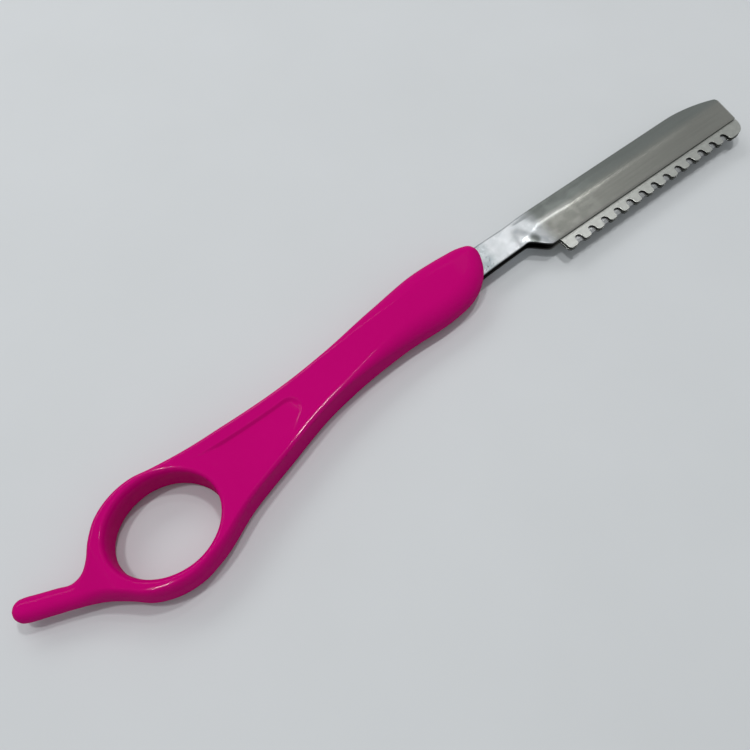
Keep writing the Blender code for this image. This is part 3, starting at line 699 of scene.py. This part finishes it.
def folded_holder():
    """Folded sheet holder, spine towards +Y. Its origin is the neck's root, on the spine."""
    plain_end = TIP_X - TIP_CORNER
    count = round((plain_end + TANG_LENGTH) / STATION_GAP)
    stations = [(mix(-TANG_LENGTH, plain_end, i / count), 0.0) for i in range(count + 1)]
    stations += [(x, TIP_CORNER - y) for x, y in arc(plain_end, 0, TIP_CORNER, 90, 0, FINE_ARC_STEP)[1:]]
    shape = bmesh.new()
    rows = [[shape.verts.new((leaned_back(x, y), y, z)) for y, z in holder_section(x, corner)]
            for x, corner in stations]
    # The sheet's edges, its inside and the last bands of the tip have the finish of cut steel, darkened
    # there as painted shade.
    cut = []
    for number, (a, b) in enumerate(zip(rows, rows[1:])):
        quads = bridge(shape, a, b)
        half = len(quads) // 2
        cut += quads if number >= len(rows) - 1 - TIP_SHADE_BANDS else [quads[0], *quads[half - 2:]]
    for row in (rows[0], rows[-1]):
        for i in range(len(row) // 2 - 1):
            cut.append(shape.faces.new((row[i], row[i + 1], row[-2 - i], row[-1 - i])))
    for face in cut:
        face.material_index = 1
    return shape


# Where one finish fades into the next, as distances from the neck's root: the darker start of the neck,
# which is painted reflection, the polish that ends behind the shoulder, the painted highlight along the
# ridge's crest, and the lightening and wear near the shoulder.
ROOT_REFLECTION_FADE = (0.0, 0.0035)
POLISH_FADE = (0.0140, 0.0185)
CREST_HIGHLIGHT_FADE = (0.0200, 0.0310)
CREST_HIGHLIGHT_HALF_WIDTH = 0.0012
LIGHTENING_FADE = (0.0220, 0.0420)
EVEN_LIGHTENING = 0.12
BLOTCHY_WEAR = 0.24
# Centre of the painted dark reflection at the neck's lower corner, along and down from the neck's root, and
# its reach.
DARK_REFLECTION_PLACE = (0.0126, 0.0073)
DARK_REFLECTION_CORE = 0.0007
DARK_REFLECTION_REACH = 0.0019
holder_place = handle_place + Vector((GRIP_LENGTH, NECK_PLACE, 0.0))
crest_y = holder_place.y + LEAF_FOOT + RIDGE_HEIGHT


def past(place, fade):
    """0 up to the start of a fade along the holder, and 1 from its end on."""
    start, end = fade
    return place.axis(0).between(holder_place.x + start, holder_place.x + end)


made, place = new_finish("satin_steel")
smudges = place.noise(120.0)
clouds = place.noise(420.0, detail=5.0, roughness=0.6).between(0.35, 0.65)
specks = place.noise(2600.0, detail=2.0).between(0.30, 0.36)
brushing = place.stretched(60.0, 2600.0, 60.0).noise(1.0, detail=4.0)
blotches = place.stretched(0.6, 1.0, 1.0).noise(520.0, detail=4.0).between(0.38, 0.62)
# The neck is polished and specked at its root, with painted reflections: darker at its root, dark at its
# lower corner.
dark_reflection_place = holder_place + Vector((DARK_REFLECTION_PLACE[0], -DARK_REFLECTION_PLACE[1], LEAF_HALF))
painted_dark_reflection = 1.0 - place.distance(dark_reflection_place).between(DARK_REFLECTION_CORE, DARK_REFLECTION_REACH)
polished_tone = clouds.blend((0.74, 0.77, 0.79), (0.86, 0.88, 0.90))
dark_reflection_tone = painted_dark_reflection.blend(polished_tone, (0.27, 0.29, 0.28))
specks_and_reflection_tone = specks.blend((0.10, 0.12, 0.13), clouds.blend((0.52, 0.58, 0.60), (0.76, 0.80, 0.82)))
neck_tone = past(place, ROOT_REFLECTION_FADE).blend(specks_and_reflection_tone, dark_reflection_tone)
# The leaf is brushed lengthwise, with painted shade above the ridge, lighter near the shoulder, worn there
# in blotches by the hand, and with a painted highlight along the crest near the shoulder.
upper = place.axis(1).between(crest_y - RIDGE_ROUNDING, crest_y + 2 * RIDGE_ROUNDING)
lower_tone = brushing.blend((0.34, 0.34, 0.31), (0.41, 0.41, 0.37))
shaded_upper_tone = brushing.blend((0.27, 0.29, 0.27), (0.33, 0.35, 0.33))
lightening_and_wear = (1.0 - past(place, LIGHTENING_FADE)) * (EVEN_LIGHTENING + BLOTCHY_WEAR * blotches)
shaded_and_worn_tone = upper.blend(lower_tone, shaded_upper_tone).brightened(1.0 + lightening_and_wear)
off_crest = (place.axis(1) - crest_y).math("ABSOLUTE").between(CREST_HIGHLIGHT_HALF_WIDTH / 3, CREST_HIGHLIGHT_HALF_WIDTH)
painted_crest_highlight = (1.0 - off_crest) * (1.0 - past(place, CREST_HIGHLIGHT_FADE))
leaf_tone = painted_crest_highlight.blend(shaded_and_worn_tone, (0.54, 0.55, 0.52))
leaf = past(place, POLISH_FADE)
satin = finish_with(
    made,
    Base_Color=leaf.blend(neck_tone, leaf_tone),
    Metallic=1.0,
    Roughness=0.13 + leaf * 0.03 + smudges * 0.06,
    Normal=(brushing * leaf).bump(strength=0.08, distance=0.00002),
)
# Cut steel: its near black at the neck and along the guard below the leaf is painted shade; it is grey on
# the leaf.
made, place = new_finish("cut_steel_and_shade")
tears = place.noise(1500.0)
leaf_foot = holder_place.y - LEAF_HEIGHT
on_leaf = past(place, POLISH_FADE) * place.axis(1).between(leaf_foot - SHEET_BREAK, leaf_foot)
painted_shade_tone = tears.blend((0.02, 0.02, 0.02), (0.05, 0.05, 0.05))
cut_and_shade_steel = finish_with(
    made,
    Base_Color=on_leaf.blend(painted_shade_tone, (0.30, 0.30, 0.28)),
    Metallic=1.0,
    Roughness=0.45 + tears * 0.2,
)
holder = add_piece("blade_holder", folded_holder(), holder_place, [satin, cut_and_shade_steel], "handle_and_holder")

# Comb guard: thin spring steel folded over the blade's back, with round-topped notches punched through
# both sides. It slides into the holder from its tip, and its teeth stand past the cutting edge.
GUARD_HEEL_CORNER = 0.0009
GUARD_TOE_CORNER = 0.0038
# How far the last tooth, at the toe, reaches past the others.
GUARD_TOE_DEPTH = 0.0004
TOOTH_CORNER = 0.00075
NOTCH_PITCH = 0.00435
NOTCH_WIDTH = 0.0020
NOTCH_DEPTH = 0.0021
FIRST_NOTCH = 0.00385
TOE_LAND = 0.0005
GUARD_BREAK = 0.00005
GUARD_BREAK_SEGMENTS = 2
GUARD_BREAK_ANGLE = math.radians(50)
NOTCH_STEP = math.radians(12)


def comb_outline():
    """Plan of one side from its back at the heel, along the teeth, to its back at the toe."""
    half = NOTCH_WIDTH / 2
    last_notch = GUARD_LENGTH - GUARD_TOE_CORNER - TOE_LAND - TOOTH_CORNER - half
    count = int((last_notch - FIRST_NOTCH) / NOTCH_PITCH) + 1
    back = GUARD_HEIGHT - GUARD_HALF
    outline = [(0, back)]
    outline += arc(GUARD_HEEL_CORNER, GUARD_HEEL_CORNER, GUARD_HEEL_CORNER, 180, 270, NOTCH_STEP)
    for k in range(count):
        centre = FIRST_NOTCH + k * NOTCH_PITCH
        drop = GUARD_TOE_DEPTH if k == count - 1 else 0
        corner = (centre + half + TOOTH_CORNER, TOOTH_CORNER - drop)
        outline += arc(centre - half - TOOTH_CORNER, TOOTH_CORNER, TOOTH_CORNER, 270, 360, NOTCH_STEP)
        outline += arc(centre, NOTCH_DEPTH - half, half, 180, 0, NOTCH_STEP)
        outline += arc(*corner, TOOTH_CORNER, 180, 270, NOTCH_STEP)
    toe = (GUARD_LENGTH - GUARD_TOE_CORNER, GUARD_TOE_CORNER - GUARD_TOE_DEPTH)
    outline += arc(*toe, GUARD_TOE_CORNER, 270, 360, NOTCH_STEP)
    return outline + [(GUARD_LENGTH, back)]


def folded_guard():
    """Two sides with their notches, joined by the fold. Its origin is at its heel, level with its teeth."""
    shape = bmesh.new()
    plan = comb_outline()
    skins = []
    for radius in (GUARD_HALF, GUARD_HALF - GUARD_SHEET):
        sides = [[shape.verts.new((x, y, z)) for x, y in plan] for z in (radius, -radius)]
        ends = []
        for number in (0, -1):
            x, y = plan[number]
            bend = [shape.verts.new((x, y + radius * math.cos(t), radius * math.sin(t)))
                    for t in fold_turns()[1:-1]]
            ends.append([sides[0][number]] + bend + [sides[1][number]])
        for face in sides:
            shape.faces.new(face)
        for i in range(FOLD_STEPS):
            shape.faces.new((ends[0][i], ends[0][i + 1], ends[1][i + 1], ends[1][i]))
        skins.append((sides, ends))
    for outer, inner in zip(skins[0][0] + skins[0][1], skins[1][0] + skins[1][1]):
        for i in range(len(outer) - 1):
            wall = shape.faces.new((outer[i], outer[i + 1], inner[i + 1], inner[i]))
            wall.material_index = 1
    return shape


guard_place = holder_place + Vector((HEEL_X, COMB_Y, 0.0))
made, place = new_finish("matt_steel")
grain = place.noise(900.0, detail=4.0)
# Painted light: the guard is lighter at its heel and darker towards its toe.
towards_toe = place.axis(0).between(guard_place.x, guard_place.x + GUARD_LENGTH)
lit_heel_tone = grain.blend((0.52, 0.53, 0.50), (0.70, 0.71, 0.67))
shaded_toe_tone = grain.blend((0.40, 0.41, 0.38), (0.56, 0.57, 0.53))
matt = finish_with(
    made,
    Base_Color=towards_toe.blend(lit_heel_tone, shaded_toe_tone),
    Metallic=1.0,
    Roughness=0.30 + grain * 0.1,
    Normal=place.noise(2500.0, detail=2.0).bump(strength=0.1, distance=0.00002),
)
guard = add_piece("comb_guard", folded_guard(), guard_place, [matt, cut_and_shade_steel], "guard")
guard_break = guard.modifiers.new("broken_edges", "BEVEL")
guard_break.width = GUARD_BREAK
guard_break.segments = GUARD_BREAK_SEGMENTS
guard_break.limit_method = "ANGLE"
guard_break.angle_limit = GUARD_BREAK_ANGLE
# The edges are broken first, so that the faces are shaded with them.
guard.modifiers.move(1, 0)

# Blade: a single-edged razor blade, ground to a bevel on both sides. It lies in the guard and shows
# only through the notches.
made, place = new_finish("ground_steel")
grinding = place.stretched(4000.0, 80.0, 80.0).noise(1.0)
ground = finish_with(
    made,
    Base_Color=grinding.blend((0.42, 0.43, 0.43), (0.55, 0.56, 0.56)),
    Metallic=1.0,
    Roughness=0.22 + grinding * 0.1,
)
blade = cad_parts["blade"]
blade.data.materials.clear()
blade.data.materials.append(ground)

# Table and room: the razor lies on a plain pale laminate top, under soft lights that all face down. They
# aren't part of the razor.
TABLE_HALF = 1.5
table_mesh = bpy.data.meshes.new("table_top")
corners = [(x * TABLE_HALF, y * TABLE_HALF, 0.0) for x, y in ((-1, -1), (1, -1), (1, 1), (-1, 1))]
table_mesh.from_pydata(corners, [], [(0, 1, 2, 3)])
table = bpy.data.objects.new("table_top", table_mesh)
bpy.context.scene.collection.objects.link(table)
made, place = new_finish("pale_laminate")
mottle = place.noise(25.0)
table_mesh.materials.append(finish_with(
    made,
    Base_Color=mottle.blend((0.57, 0.59, 0.60), (0.61, 0.63, 0.645)),
    Roughness=0.5,
    Specular_IOR_Level=0.2,
))

# Each light's size, its power in watts and its place. The small ones at the top make the highlights on the
# plastic, and the window fills in. The faint ones show only as reflections in the steel: in the polished
# neck, in the leaf, and as three strips along the ridge's crest.
LIGHTS = {
    "left_light": ((0.093, 0.07), 2.8, (-0.26, 0.17, 1.12)),
    "right_light": ((0.093, 0.07), 2.8, (0.27, 0.15, 1.12)),
    "arm_light": ((0.08, 0.05), 0.6, (0.33, 0.38, 1.10)),
    "window_light": ((1.4, 0.8), 9.0, (-0.2, 1.25, 1.04)),
    "neck_light": ((0.24, 0.50), 0.17, (0.70, 0.68, 1.0)),
    "leaf_light": ((0.30, 0.55), 0.08, (0.89, 0.485, 1.02)),
    "shoulder_strip": ((0.075, 0.04), 0.066, (0.8025, 0.466, 0.98)),
    "middle_strip": ((0.115, 0.04), 0.032, (0.8975, 0.466, 0.98)),
    "tip_strip": ((0.28, 0.04), 0.014, (1.095, 0.466, 0.98)),
}
for name, (size, power, position) in LIGHTS.items():
    light = bpy.data.lights.new(name, "AREA")
    light.shape = "RECTANGLE"
    light.size, light.size_y = size
    light.energy = power
    lamp = bpy.data.objects.new(name, light)
    lamp.location = position
    bpy.context.scene.collection.objects.link(lamp)
ROOM_COLOUR = (0.95, 0.98, 1.0, 1.0)
ROOM_LIGHT = 0.42
world = bpy.data.worlds.new("room")
bpy.context.scene.world = world
world.use_nodes = True
background = world.node_tree.nodes["Background"]
background.inputs["Color"].default_value = ROOM_COLOUR
background.inputs["Strength"].default_value = ROOM_LIGHT

# Camera: held over the tail's side some 14 cm above the table, looking down and along the razor. It
# is turned, so the razor runs from the frame's lower left to its upper right.
CAMERA_PLACE = Vector((-0.06345, -0.05566, 0.1370))
CAMERA_FORWARD = Vector((0.2891, 0.3679, -0.8838))
CAMERA_RIGHT = Vector((0.7863, -0.6179, 0.0))
CAMERA_LENS = 34.32
SENSOR_WIDTH = 36.0
CLIP_START = 0.01
camera_data = bpy.data.cameras.new("camera")
camera_data.lens = CAMERA_LENS
camera_data.sensor_width = SENSOR_WIDTH
camera_data.sensor_fit = "HORIZONTAL"
camera_data.clip_start = CLIP_START
camera = bpy.data.objects.new("camera", camera_data)
up = CAMERA_RIGHT.cross(CAMERA_FORWARD)
turn = Matrix((CAMERA_RIGHT, up, -CAMERA_FORWARD)).transposed()
camera.matrix_world = Matrix.Translation(CAMERA_PLACE) @ turn.to_4x4()
bpy.context.scene.collection.objects.link(camera)
bpy.context.scene.camera = camera
bpy.context.scene.view_settings.view_transform = "Standard"
